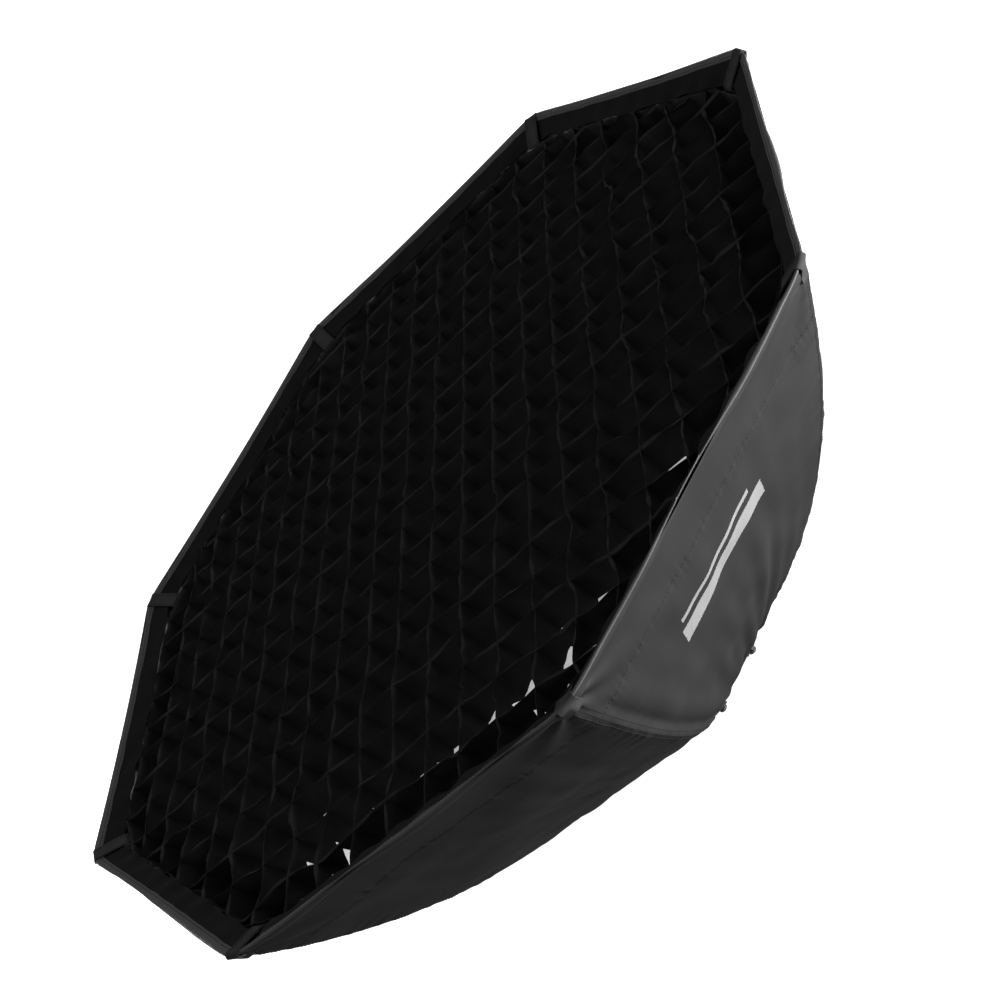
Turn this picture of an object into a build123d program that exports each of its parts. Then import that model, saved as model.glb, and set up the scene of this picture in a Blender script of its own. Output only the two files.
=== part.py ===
"""Folding eight-sided softbox (octabox) with a fabric egg-crate grid, in millimetres.

The light axis is +Z: the mouth faces up and the three-lug bayonet points down.
The origin is the centre of the bayonet tube's rear face, which the part stands on.
Eight sprung rods hinge on a cast ring, and carry a cloth shell of eight panels.
Rod 1 is at 22.5 degrees from +X, and panel 1 lies between rods 1 and 2.
"""

from build123d import *
import math
import os

os.makedirs("parts", exist_ok=True)

# Driving dimensions
SIDES = 8
CORNER_RADIUS = 475.0  # axis to the shell's corner ridge at the mouth
RIDGE_ARC = 893.0  # radius of the bow of a corner ridge
MOUTH_ANGLE = 60.0  # ridge's slope at the mouth, from the mouth's plane
SOCKET_ANGLE = 27.5  # rod's slope where it leaves its socket
PIVOT_R = 83.0  # hinge pin's distance from the light axis
PIVOT_Z = 26.0  # hinge pin's height over the bayonet's rear face
CLOTH = 0.8  # cloth thickness
GAP = 0.3  # clearance between cloths of different bodies

# Rods and their sockets
ROD_R = 2.5
ROD_INSET = 7.0  # ridge to rod centre
ROD_SEAT = 10.0  # pin centre to the rod's rear end
SOCKET_LENGTH = 32.0  # pin centre to the socket's mouth
SOCKET_R = 5.5
EYE_R = 6.0
EYE_WIDTH = 14.0
RUNNING = 0.05  # radial clearance of a running fit
TIP_DROP = 14.0  # mouth plane to the rod's end
TIP_CAP_R = 4.2
TIP_CAP_LENGTH = 16.0

# Hinge pins
PIN_R = 2.5
PIN_HEAD_R = 4.2
PIN_HEAD = 1.6
CLIP_R = 4.6
CLIP_THICK = 0.9

# Cast ring
RING_REAR_Z = 10.0
RING_TOP_Z = 20.0
RING_OUTER_R = 74.0
RING_BORE_R = 56.0
RECESS_R = 63.0
RECESS_FLOOR_Z = 13.0
EAR_THICK = 5.0
EAR_R = 7.2
EAR_FOOT_Z = 11.0
EAR_FOOT_R = 66.0
STOP_TOP = [(91.5, 23.4), (94.0, 24.6), (94.0, 13.0)]  # pad that an open socket rests on
BUTTON_GUIDE_TOP = 15.5

# Bayonet insert
BORE_R = 45.5
TUBE_R = 49.0
LUG_R = 53.5
LUG_THICK = 3.2
LUG_COUNT = 3
LUG_SWEEP = 30.0
FLANGE_R = 62.92
FLANGE_Z = (13.1, 16.1)

# Retaining ring and its screws
RETAINER_BORE_R = 57.5
RETAINER_R = 71.5
RETAINER_SPIGOT_R = 62.7
RETAINER_Z = (20.05, 22.5)
SPIGOT_Z = 16.4
SCREW_CIRCLE_R = 67.5
SCREW_R = 1.95
SCREW_HEAD_R = 3.4
SCREW_HEAD = 2.2
SCREW_END_Z = 13.5
SCREW_ANGLES = (45, 135, 225, 315)

# Rotation lock
STUD_R = 3.0
STUD_Z = 14.6
STUD_SPAN = (63.05, 80.0)
KNOB_SPAN = (76.0, 90.0)
KNOB_R = 8.5
KNOB_LOBES = 6

# Release buttons
BUTTON_R = 2.0
BUTTON_TOP_Z = 16.2
BUTTON_HEAD_R = 4.5
BUTTON_HEAD_Z = (3.0, 6.0)
SPRING_WIRE_R = 0.35
SPRING_COIL_R = 3.0
SPRING_PITCH = 1.35

# Shell, lip, corner straps and rear cuff
SHELL_REAR_ANGLE = 28.5  # ridge angle at which the panels end
LIP_WIDTH = 26.8  # across the flats, in the mouth's plane
LIP_DROP = 14.0
STRAP_WIDTH = 16.0
STRAP_THICK = 1.3
STRAP_LIFT = 3.7
STRAP_INNER_R = 440.0
STRAP_OUTER_LENGTH = 20.0
CUFF_OUTER = (126.5, 40.6)  # corner radius and height of the cuff's outer edge
CUFF_INNER = (101.0, 18.0)

# Grid, front diffuser and inner baffle
GRID_PITCH = 39.5
GRID_STRIPS = 20
GRID_DEPTH = 26.0
GRID_APOTHEM = 410.0
GRID_DROP = 14.0
GRID_CLOTH = 0.7
SLOT_PLAY = 0.3
CORNER_CLEAR = 432.0  # cloth that lifts out stays inside this radius
DIFFUSER_DROP = 44.5
DIFFUSER_APOTHEM = 411.0
BORDER_WIDTH = 25.0
BAFFLE_DROP = 190.0
BAFFLE_CORNER_R = 290.0
BAFFLE_STRAP_WIDTH = 12.0
BAFFLE_STRAP_SPAN = (276.0, 311.0)

# Worked out from the driving dimensions
HALF_STEP = 180.0 / SIDES
STEP = 360.0 / SIDES
COS_HALF = math.cos(math.radians(HALF_STEP))
TAN_HALF = math.tan(math.radians(HALF_STEP))


def unit(angle):
    """Direction in the (radius, height) plane at an angle from the mouth's plane."""
    return math.cos(math.radians(angle)), math.sin(math.radians(angle))


SOCKET_DIR = unit(SOCKET_ANGLE)
SOCKET_MOUTH = (
    PIVOT_R + SOCKET_LENGTH * SOCKET_DIR[0],
    PIVOT_Z + SOCKET_LENGTH * SOCKET_DIR[1],
)
ROD_ARC = RIDGE_ARC - ROD_INSET
ARC_R = CORNER_RADIUS - RIDGE_ARC * math.sin(math.radians(MOUTH_ANGLE))
# The rod's bow starts at the socket's mouth and its slope there is the socket's, so the bow's centre is fixed
# in height by the socket, and the mouth's height follows from the ridge's bow.
ARC_Z = SOCKET_MOUTH[1] + ROD_ARC * math.cos(math.radians(SOCKET_ANGLE))
MOUTH_Z = ARC_Z - RIDGE_ARC * math.cos(math.radians(MOUTH_ANGLE))
MOUTH_APOTHEM = CORNER_RADIUS * COS_HALF


def on_bow(radius, angle):
    """Point of a bow of that radius where its slope is that angle, as (distance from the axis, height)."""
    return (
        ARC_R + radius * math.sin(math.radians(angle)),
        ARC_Z - radius * math.cos(math.radians(angle)),
    )


def bow_angle(radius, height):
    """Slope angle of a bow of that radius at a height."""
    return math.degrees(math.acos((ARC_Z - height) / radius))


def at(point):
    """A (radius, height) pair as a point of the XZ plane."""
    return Vector(point[0], 0, point[1])


def prism(points, half_width, centre=0.0):
    """Solid of a (radius, height) outline, half_width to each side of centre along Y."""
    face = make_face(Polyline(*[at(p) for p in points], close=True))
    return Pos(0, centre, 0) * extrude(face, amount=half_width, dir=(0, 1, 0), both=True)


def cylinder_between(start, end, radius):
    """Cylinder from one point to another."""
    start, end = Vector(start), Vector(end)
    plane = Plane(origin=start, z_dir=end - start)
    return extrude(plane * Circle(radius), amount=(end - start).length)


def tube(outer, inner, low, high):
    """Ring about the light axis."""
    ring = Circle(outer) - Circle(inner)
    return Pos(0, 0, low) * extrude(ring, amount=high - low)


def disc(radius, low, high):
    """Solid cylinder about the light axis."""
    return Pos(0, 0, low) * extrude(Circle(radius), amount=high - low)


def wedge(inset, half_angle=HALF_STEP):
    """Space between two upright planes through the light axis, each side moved in by inset."""
    apex = inset / math.sin(math.radians(half_angle))
    far = 2 * CORNER_RADIUS
    side = (far - apex) * math.tan(math.radians(half_angle))
    face = make_face(Polyline((apex, 0), (far, side), (far, -side), close=True))
    return Pos(0, 0, -CORNER_RADIUS) * extrude(face, amount=3 * CORNER_RADIUS)


def turned(shape, angle):
    """The shape turned about the light axis."""
    return Rot(0, 0, angle) * shape


def rod_angle(number):
    """Angle of a rod, numbered from 1."""
    return HALF_STEP + STEP * (number - 1)


def panel_angle(number):
    """Angle of the middle of a panel, numbered from 1."""
    return STEP * number


def group(shapes):
    """Several separate solids in one node."""
    return Compound(children=[s for shape in shapes for s in shape.solids()])


def octagon(apothem, low, high, corner_limit=None):
    """Flat octagonal slab with a side facing +X, its corners cut off beyond corner_limit."""
    slab = Pos(0, 0, low) * extrude(
        RegularPolygon(apothem, SIDES, major_radius=False, rotation=HALF_STEP), amount=high - low
    )
    if corner_limit:
        slab = slab & Pos(0, 0, low) * extrude(
            RegularPolygon(corner_limit, SIDES, major_radius=False, rotation=0), amount=high - low
        )
    return slab


# The cast ring and what it carries
def stop_pad():
    """Pad between two ears: it guides a release button and stops the open socket."""
    outline = [
        (EAR_FOOT_R, EAR_FOOT_Z),
        (92.0, EAR_FOOT_Z),
        STOP_TOP[2],
        STOP_TOP[1],
        STOP_TOP[0],
        (87.5, BUTTON_GUIDE_TOP),
        (EAR_FOOT_R, BUTTON_GUIDE_TOP),
    ]
    return prism(outline, EYE_WIDTH / 2 + GAP + 1)


def ear():
    """One cheek of a hinge, in the XZ plane, centred on Y = 0."""
    low_side = [(EAR_FOOT_R, EAR_FOOT_Z), (88.0, EAR_FOOT_Z), (90.0, 20.0)]
    neck = 0.8 * EAR_R
    top_side = [(PIVOT_R + neck, PIVOT_Z), (PIVOT_R - neck, PIVOT_Z), (74.0, RING_TOP_Z - 1.5)]
    cheek = prism(low_side + top_side + [(EAR_FOOT_R, RING_TOP_Z - 1.5)], EAR_THICK / 2)
    round_top = cylinder_between(
        (PIVOT_R, -EAR_THICK / 2, PIVOT_Z), (PIVOT_R, EAR_THICK / 2, PIVOT_Z), EAR_R
    )
    return cheek + round_top


def speedring_body():
    """Cast ring with eight pairs of ears, a recess for the bayonet insert and its screw holes."""
    body = tube(RING_OUTER_R, RING_BORE_R, RING_REAR_Z, RECESS_FLOOR_Z)
    body += tube(RING_OUTER_R, RECESS_R, RECESS_FLOOR_Z, RING_TOP_Z)
    cheek = EYE_WIDTH / 2 + GAP + EAR_THICK / 2
    knuckle = stop_pad() + Pos(0, cheek, 0) * ear() + Pos(0, -cheek, 0) * ear()
    reach = cheek + EAR_THICK
    knuckle -= cylinder_between((PIVOT_R, -reach, PIVOT_Z), (PIVOT_R, reach, PIVOT_Z), PIN_R + RUNNING)
    knuckle -= Pos(PIVOT_R, 0, 0) * disc(BUTTON_R + 0.1, 0, PIVOT_Z - EYE_R)
    for number in range(1, SIDES + 1):
        body += turned(knuckle, rod_angle(number))
    body -= cylinder_between((RECESS_R - 0.3, 0, STUD_Z), (RING_OUTER_R + 5, 0, STUD_Z), STUD_R + 0.1)
    for angle in SCREW_ANGLES:
        hole = Pos(SCREW_CIRCLE_R, 0, 0) * disc(SCREW_R + RUNNING, SCREW_END_Z - 0.5, RING_TOP_Z + 1)
        body -= turned(hole, angle)
    return body


def hinge_pin():
    """Headed pin through one pair of ears."""
    reach = EYE_WIDTH / 2 + GAP + EAR_THICK
    head = cylinder_between(
        (PIVOT_R, reach + 0.1, PIVOT_Z), (PIVOT_R, reach + 0.1 + PIN_HEAD, PIVOT_Z), PIN_HEAD_R
    )
    shank = cylinder_between(
        (PIVOT_R, -reach - 2.4, PIVOT_Z), (PIVOT_R, reach + 0.5, PIVOT_Z), PIN_R
    )
    return shank + head


def pin_clip():
    """Open ring that holds a hinge pin at its plain end."""
    reach = EYE_WIDTH / 2 + GAP + EAR_THICK + 0.3
    start, end = (PIVOT_R, -reach, PIVOT_Z), (PIVOT_R, -reach - CLIP_THICK, PIVOT_Z)
    ring = cylinder_between(start, end, CLIP_R) - cylinder_between(start, end, PIN_R + RUNNING)
    mouth = Pos(PIVOT_R, -reach - CLIP_THICK / 2, PIVOT_Z + CLIP_R) * Box(2.6, 2, 2 * CLIP_R)
    return ring - mouth


def bayonet_insert():
    """Turning insert: tube with three lugs, and a flange that runs in the ring's recess."""
    insert = tube(TUBE_R, BORE_R, 0, FLANGE_Z[1]) + tube(FLANGE_R, BORE_R, *FLANGE_Z)
    sector = make_face(
        Polyline(
            (0, 0),
            (2 * LUG_R, 2 * LUG_R * math.tan(math.radians(LUG_SWEEP / 2))),
            (2 * LUG_R, -2 * LUG_R * math.tan(math.radians(LUG_SWEEP / 2))),
            close=True,
        )
    )
    lug = tube(LUG_R, TUBE_R - 1, 0, LUG_THICK) & extrude(sector, amount=LUG_THICK)
    for number in range(LUG_COUNT):
        insert += turned(lug, HALF_STEP + 360 / LUG_COUNT * number)
    return insert


def retaining_ring():
    """Plate that keeps the insert's flange down in the recess."""
    plate = tube(RETAINER_R, RETAINER_BORE_R, *RETAINER_Z)
    plate += tube(RETAINER_SPIGOT_R, RETAINER_BORE_R, SPIGOT_Z, RETAINER_Z[1])
    for angle in SCREW_ANGLES:
        hole = Pos(SCREW_CIRCLE_R, 0, 0) * disc(SCREW_R + 0.25, RING_TOP_Z - 1, RETAINER_Z[1] + 1)
        plate -= turned(hole, angle)
    return plate


def retaining_screw():
    """Socket-head screw, on the X axis."""
    top = RETAINER_Z[1] + RUNNING
    head = Pos(SCREW_CIRCLE_R, 0, 0) * disc(SCREW_HEAD_R, top, top + SCREW_HEAD)
    shank = Pos(SCREW_CIRCLE_R, 0, 0) * disc(SCREW_R, SCREW_END_Z, top + 0.1)
    key = Pos(SCREW_CIRCLE_R, 0, top + SCREW_HEAD - 1.2) * extrude(RegularPolygon(1.5, 6), amount=2)
    return head + shank - key


def rotation_lock_stud():
    """Steel stud that bears on the insert's flange."""
    return cylinder_between((STUD_SPAN[0], 0, STUD_Z), (STUD_SPAN[1], 0, STUD_Z), STUD_R)


def rotation_lock_knob():
    """Lobed plastic head on the stud."""
    core = Circle(KNOB_R)
    for number in range(KNOB_LOBES):
        core -= Rot(0, 0, 360 / KNOB_LOBES * (number + 0.5)) * Pos(KNOB_R + 1.4, 0) * Circle(2.6)
    plane = Plane(origin=(KNOB_SPAN[0], 0, STUD_Z), z_dir=(1, 0, 0))
    head = extrude(plane * core, amount=KNOB_SPAN[1] - KNOB_SPAN[0])
    seat = cylinder_between(
        (KNOB_SPAN[0] - 1, 0, STUD_Z), (STUD_SPAN[1] + 0.05, 0, STUD_Z), STUD_R + RUNNING
    )
    return head - seat


def release_button():
    """Push button under a hinge, on the X axis."""
    head = Pos(PIVOT_R, 0, 0) * disc(BUTTON_HEAD_R, *BUTTON_HEAD_Z)
    head = fillet(head.edges().group_by(Axis.Z)[0], 0.8)
    return head + Pos(PIVOT_R, 0, 0) * disc(BUTTON_R, BUTTON_HEAD_Z[1] - 0.5, BUTTON_TOP_Z)


def button_spring():
    """Coil between a button's head and its pad."""
    low = BUTTON_HEAD_Z[1] + SPRING_WIRE_R + 0.1
    high = EAR_FOOT_Z - SPRING_WIRE_R - 0.1
    path = Pos(PIVOT_R, 0, low) * Helix(SPRING_PITCH, high - low, SPRING_COIL_R)
    section = Plane(origin=path @ 0, z_dir=path % 0) * Circle(SPRING_WIRE_R)
    return sweep(section, path, is_frenet=True)


# What swings with one rod, with the rod in the XZ plane
def rod_socket():
    """Hinged eye with the sleeve that grips the rod's rear end."""
    eye = cylinder_between(
        (PIVOT_R, -EYE_WIDTH / 2, PIVOT_Z), (PIVOT_R, EYE_WIDTH / 2, PIVOT_Z), EYE_R
    )
    sleeve = cylinder_between((PIVOT_R, 0, PIVOT_Z), at(SOCKET_MOUTH), SOCKET_R)
    collar = cylinder_between(along_socket(SOCKET_LENGTH - 5), at(SOCKET_MOUTH), SOCKET_R + 1)
    bore = cylinder_between(along_socket(ROD_SEAT - 0.3), along_socket(SOCKET_LENGTH + 2), ROD_R + RUNNING)
    pin_hole = cylinder_between(
        (PIVOT_R, -EYE_WIDTH, PIVOT_Z), (PIVOT_R, EYE_WIDTH, PIVOT_Z), PIN_R + RUNNING
    )
    return eye + sleeve + collar - bore - pin_hole


def along_socket(distance):
    """Point on the socket's axis, that far from the hinge pin."""
    return Vector(PIVOT_R + distance * SOCKET_DIR[0], 0, PIVOT_Z + distance * SOCKET_DIR[1])


def rod():
    """Sprung rod, straight in its socket and then bowed, and the moulded cap on its tip."""
    end = bow_angle(ROD_ARC, MOUTH_Z - TIP_DROP)
    middle = (SOCKET_ANGLE + end) / 2
    path = Wire(
        [
            Edge.make_line(along_socket(ROD_SEAT), at(SOCKET_MOUTH)),
            Edge.make_three_point_arc(
                at(SOCKET_MOUTH), at(on_bow(ROD_ARC, middle)), at(on_bow(ROD_ARC, end))
            ),
        ]
    )
    bar = sweep(Plane(origin=path @ 0, z_dir=path % 0) * Circle(ROD_R), path)
    tip, direction = at(on_bow(ROD_ARC, end)), at(unit(end))
    back = tip - direction * TIP_CAP_LENGTH
    cap = cylinder_between(back, tip + direction * 1.5, TIP_CAP_R)
    cap = fillet(cap.edges().sort_by(Axis.Z)[-1], 1.5)
    cap -= cylinder_between(back - direction, tip + direction * 0.05, ROD_R + RUNNING)
    # the bar bows a little inside the cap, so the bar's own shape is taken out of it too
    return [bar, cap - bar]


def corner_strap():
    """Webbing folded over the shell's corner: it lies on the lip and down the outside of the ridge."""
    slope = LIP_DROP / (LIP_WIDTH / COS_HALF)
    inner = (STRAP_INNER_R, MOUTH_Z - (CORNER_RADIUS - STRAP_INNER_R) * slope + STRAP_LIFT)
    along = unit(MOUTH_ANGLE)
    clear = CORNER_RADIUS + 0.6
    top = (clear + STRAP_LIFT * along[0] / along[1], MOUTH_Z + STRAP_LIFT)
    foot = (
        clear - STRAP_OUTER_LENGTH * along[0],
        MOUTH_Z - STRAP_OUTER_LENGTH * along[1],
    )
    out = unit(MOUTH_ANGLE - 90)
    outline = [
        inner,
        top,
        foot,
        (foot[0] + STRAP_THICK * out[0], foot[1] + STRAP_THICK * out[1]),
        (top[0] + STRAP_THICK, top[1] - 0.6),
        (top[0] + 0.3, top[1] + STRAP_THICK),
        (inner[0], inner[1] + STRAP_THICK),
    ]
    return prism(outline, STRAP_WIDTH / 2)


# Cloth fixed to the frame
def shell_panel():
    """One panel of the shell, its middle at 0 degrees: a bowed sheet between two rod planes."""
    samples = 9
    angles = [
        SHELL_REAR_ANGLE + (MOUTH_ANGLE - SHELL_REAR_ANGLE) * n / (samples - 1) for n in range(samples)
    ]

    def bow(radius):
        points = [on_bow(radius, angle) for angle in angles]
        return [Vector(r * COS_HALF, 0, z) for r, z in points]

    outer, inner = bow(RIDGE_ARC), bow(RIDGE_ARC - CLOTH)
    outline = Wire(
        [
            Edge.make_spline(outer),
            Edge.make_line(outer[-1], inner[-1]),
            Edge.make_spline(inner[::-1]),
            Edge.make_line(inner[0], outer[0]),
        ]
    )
    band = extrude(Face(outline), amount=CORNER_RADIUS, dir=(0, 1, 0), both=True)
    return band & wedge(GAP / 2)


def lip_strip():
    """One side of the lip inside the mouth: it slopes in and down to where the grid sits."""
    outer = MOUTH_APOTHEM - 2 * CLOTH - GAP
    inner = MOUTH_APOTHEM - LIP_WIDTH
    low = MOUTH_Z - LIP_DROP
    outline = [
        (outer, MOUTH_Z),
        (inner, low),
        (inner, low - CLOTH),
        (outer, MOUTH_Z - CLOTH),
    ]
    return prism(outline, CORNER_RADIUS) & wedge(0.05)


def rear_cuff():
    """Octagonal sleeve of cloth that closes the shell round the ring."""

    def cone(grow):
        faces = [
            Pos(0, 0, z) * RegularPolygon(r + grow, SIDES, rotation=HALF_STEP)
            for r, z in (CUFF_INNER, CUFF_OUTER)
        ]
        return loft(faces)

    return cone(0) - cone(-1.6 * CLOTH)


# Cloth that comes off
def grid_reach(offset):
    """Half the length of a grid strip at that distance from the middle."""
    play = 2 * GRID_CLOTH + 0.3
    sides = min(GRID_APOTHEM, GRID_APOTHEM * (1 + TAN_HALF) - offset)
    return min(sides, CORNER_CLEAR / COS_HALF - offset * TAN_HALF) - play


def grid_offsets():
    """Distances of the strips from the middle."""
    return [GRID_PITCH * (n - (GRID_STRIPS - 1) / 2) for n in range(GRID_STRIPS)]


def grid_strip(offset, from_top):
    """Strip along X, slotted where it crosses the others, from its top or its bottom edge."""
    reach = grid_reach(abs(offset))
    low, high = MOUTH_Z - GRID_DROP - GRID_DEPTH, MOUTH_Z - GRID_DROP
    middle = (low + high) / 2
    edge, root, back = (high, middle - 0.1, low) if from_top else (low, middle + 0.1, high)
    half_slot = (GRID_CLOTH + SLOT_PLAY) / 2
    outline = [(-reach, back), (-reach, edge)]
    for x in grid_offsets():
        if abs(x) + half_slot < reach - 1:
            outline += [(x - half_slot, edge), (x - half_slot, root), (x + half_slot, root), (x + half_slot, edge)]
    outline += [(reach, edge), (reach, back)]
    return prism(outline, GRID_CLOTH / 2, centre=offset)


def grid_strips(from_top, angle):
    """All the strips that run one way."""
    return group([turned(grid_strip(offset, from_top), angle) for offset in grid_offsets()])


def ring_strips(apothem, width, low, high):
    """Straight strips round a cut-cornered octagon, one on each side and one across each corner."""
    outer = octagon(apothem, low, high, CORNER_CLEAR)
    inner = octagon(apothem - width, low, high, CORNER_CLEAR - width)
    frame = outer - inner
    bend_y = (CORNER_CLEAR / COS_HALF - apothem) / TAN_HALF
    bend = math.degrees(math.atan2(bend_y, apothem))
    side, corner = wedge(0.05, bend), wedge(0.05, HALF_STEP - bend)
    strips = [frame & turned(side, STEP * n) for n in range(SIDES)]
    strips += [frame & turned(corner, STEP * n + HALF_STEP) for n in range(SIDES)]
    return group(strips)


def grid_border():
    """Upright band round the grid."""
    return ring_strips(GRID_APOTHEM, GRID_CLOTH, MOUTH_Z - GRID_DROP - GRID_DEPTH, MOUTH_Z - GRID_DROP)


def front_diffuser():
    """White sheet behind the grid."""
    low = MOUTH_Z - DIFFUSER_DROP
    return octagon(DIFFUSER_APOTHEM, low, low + CLOTH, CORNER_CLEAR)


def diffuser_border():
    """Fastening tape round the front diffuser."""
    low = MOUTH_Z - DIFFUSER_DROP + CLOTH + 0.02
    return ring_strips(DIFFUSER_APOTHEM, BORDER_WIDTH, low, low + 1.5)


def inner_baffle():
    """Smaller white sheet half way down the shell."""
    low = MOUTH_Z - BAFFLE_DROP
    return octagon(BAFFLE_CORNER_R * COS_HALF, low, low + CLOTH)


def baffle_hem():
    """Folded hem round the inner baffle."""
    low = MOUTH_Z - BAFFLE_DROP - 1.0
    outer = octagon(BAFFLE_CORNER_R * COS_HALF, low, low + 0.95)
    inner = octagon(BAFFLE_CORNER_R * COS_HALF - 15, low, low + 0.95)
    frame = outer - inner
    return group([frame & turned(wedge(0.05), STEP * n) for n in range(SIDES)])


def baffle_strap():
    """Elastic strap from the baffle's corner towards a rod, on the X axis."""
    low = MOUTH_Z - BAFFLE_DROP + CLOTH + 0.02
    start, end = BAFFLE_STRAP_SPAN
    return prism(
        [(start, low), (end, low), (end, low + 1.2), (start, low + 1.2)], BAFFLE_STRAP_WIDTH / 2
    )


def at_each_rod(shape):
    """A copy of the shape at every rod, as one group."""
    return group([turned(shape, rod_angle(n)) for n in range(1, SIDES + 1)])


def main():
    nodes = {
        "speedring_body": speedring_body(),
        "hinge_pins": at_each_rod(hinge_pin()),
        "hinge_pin_clips": at_each_rod(pin_clip()),
        "button_springs": at_each_rod(button_spring()),
        "bayonet_insert": bayonet_insert(),
        "retaining_ring": retaining_ring(),
        "retaining_screws": group([turned(retaining_screw(), a) for a in SCREW_ANGLES]),
        "rotation_lock_stud": rotation_lock_stud(),
        "rotation_lock_knob": rotation_lock_knob(),
        "rear_cuff": rear_cuff(),
        "front_lip": group([turned(lip_strip(), STEP * n) for n in range(SIDES)]),
        "inner_baffle": inner_baffle(),
        "baffle_hem": baffle_hem(),
        "baffle_straps": at_each_rod(baffle_strap()),
        "front_diffuser": front_diffuser(),
        "diffuser_border": diffuser_border(),
        "grid_border": grid_border(),
        "grid_strips_long": grid_strips(False, 0),
        "grid_strips_cross": grid_strips(True, 90),
    }
    socket, bar, strap, panel, button = rod_socket(), rod(), corner_strap(), shell_panel(), release_button()
    for number in range(1, SIDES + 1):
        nodes[f"rod_socket_{number}"] = turned(socket, rod_angle(number))
        nodes[f"rod_{number}"] = group([turned(piece, rod_angle(number)) for piece in bar])
        nodes[f"corner_strap_{number}"] = turned(strap, rod_angle(number))
        nodes[f"release_button_{number}"] = turned(button, rod_angle(number))
        nodes[f"shell_panel_{number}"] = turned(panel, panel_angle(number))
    for name, shape in nodes.items():
        export_step(shape, f"parts/{name}.step")


main()
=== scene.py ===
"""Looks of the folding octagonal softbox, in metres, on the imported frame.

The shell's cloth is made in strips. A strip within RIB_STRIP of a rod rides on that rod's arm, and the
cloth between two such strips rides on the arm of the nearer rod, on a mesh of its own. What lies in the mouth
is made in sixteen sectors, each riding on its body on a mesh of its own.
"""

import math

import bpy
import numpy as np
from mathutils import Matrix, Vector


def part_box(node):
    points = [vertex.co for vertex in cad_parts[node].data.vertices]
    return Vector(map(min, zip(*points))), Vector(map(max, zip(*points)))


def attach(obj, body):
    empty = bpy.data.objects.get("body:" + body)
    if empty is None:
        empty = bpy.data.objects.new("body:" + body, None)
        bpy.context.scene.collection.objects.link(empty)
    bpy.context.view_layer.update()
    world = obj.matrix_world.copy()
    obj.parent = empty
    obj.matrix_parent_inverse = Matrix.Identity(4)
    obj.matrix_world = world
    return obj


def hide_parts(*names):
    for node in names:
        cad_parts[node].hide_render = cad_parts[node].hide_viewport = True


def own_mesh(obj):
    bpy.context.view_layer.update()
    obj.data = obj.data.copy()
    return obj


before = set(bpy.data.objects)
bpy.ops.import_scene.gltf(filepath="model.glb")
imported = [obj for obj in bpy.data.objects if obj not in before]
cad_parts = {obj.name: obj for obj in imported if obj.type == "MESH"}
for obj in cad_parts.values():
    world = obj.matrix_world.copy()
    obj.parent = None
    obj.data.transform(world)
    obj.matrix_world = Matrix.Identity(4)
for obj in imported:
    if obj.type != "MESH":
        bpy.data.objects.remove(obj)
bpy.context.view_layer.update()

# Driving sizes, as in the CAD
SIDES = 8
HALF = math.pi / SIDES
STEP = 2 * HALF
SIN, COS, TAN = math.sin(HALF), math.cos(HALF), math.tan(HALF)
CORNER_RADIUS = 0.475
RIDGE_ARC = 0.893
MOUTH = math.radians(60.0)
REAR = math.radians(28.5)
CLOTH = 0.0008
LIP_WIDTH, LIP_DROP = 0.0268, 0.014
LIP_SLOPE_LENGTH = math.hypot(LIP_WIDTH, LIP_DROP)
RIDGE_SLOPE = LIP_DROP / (LIP_WIDTH / COS)  # of the lip, along its corners
GRID_PITCH, GRID_STRIPS, GRID_APOTHEM, CORNER_CLEAR = 0.0395, 20, 0.410, 0.432
BORDER_WIDTH = 0.025
SHEET_APOTHEM = 0.4050  # the white sheet, drawn in a little by its tape
SHEET_TAPE_THICK = 0.0015
BAFFLE_HEM_WIDTH, BAFFLE_HEM_THICK = 0.015, 0.0009
BAFFLE_STRAP_START, BAFFLE_STRAP_END, BAFFLE_STRAP_HALF = 0.276, 0.311, 0.006
CUFF_OUTER, CUFF_INNER = (0.1265, 0.0406), (0.101, 0.018)
PIVOT_R, PIVOT_Z = 0.083, 0.026  # hinge of each rod
SPRING_WIRE_R, SPRING_COIL_R, SPRING_PITCH = 0.00035, 0.003, 0.00135

MOUTH_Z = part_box("shell_panel_8")[1].z
ARC_R = CORNER_RADIUS - RIDGE_ARC * math.sin(MOUTH)
ARC_Z = MOUTH_Z + RIDGE_ARC * math.cos(MOUTH)
SHELL_LENGTH = RIDGE_ARC * (MOUTH - REAR)
SHELL_CENTRE_Z, CUFF_CENTRE_Z = 1.2, 0.3  # heights on the light axis that the outer faces look away from
UP = np.array([0.0, 0.0, 1.0])

# Light
SKY, SKY_BELOW, FLOOR_GLOW, BACKDROP_GLOW = 0.42, 0.12, 0.97, 1.1
SIDE_POWER, OVERHEAD_POWER, REAR_FILL = 100, 12, 45  # watts
PAINTED_SHEET_GLOW = 0.35  # painted glow of the front white sheet, which gives off light of its own though no lamp is behind it

# Camera, in degrees: azimuth and elevation of its place, seen from the mouth's middle, and of its back
CAMERA_PLACE, CAMERA_BACK, CAMERA_ROLL = (-59.34, 22.29), (-60.34, 25.4), 54.1
CAMERA_DISTANCE, LENS, SENSOR = 3.343 * CORNER_RADIUS, 63.0, 36.0

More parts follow.
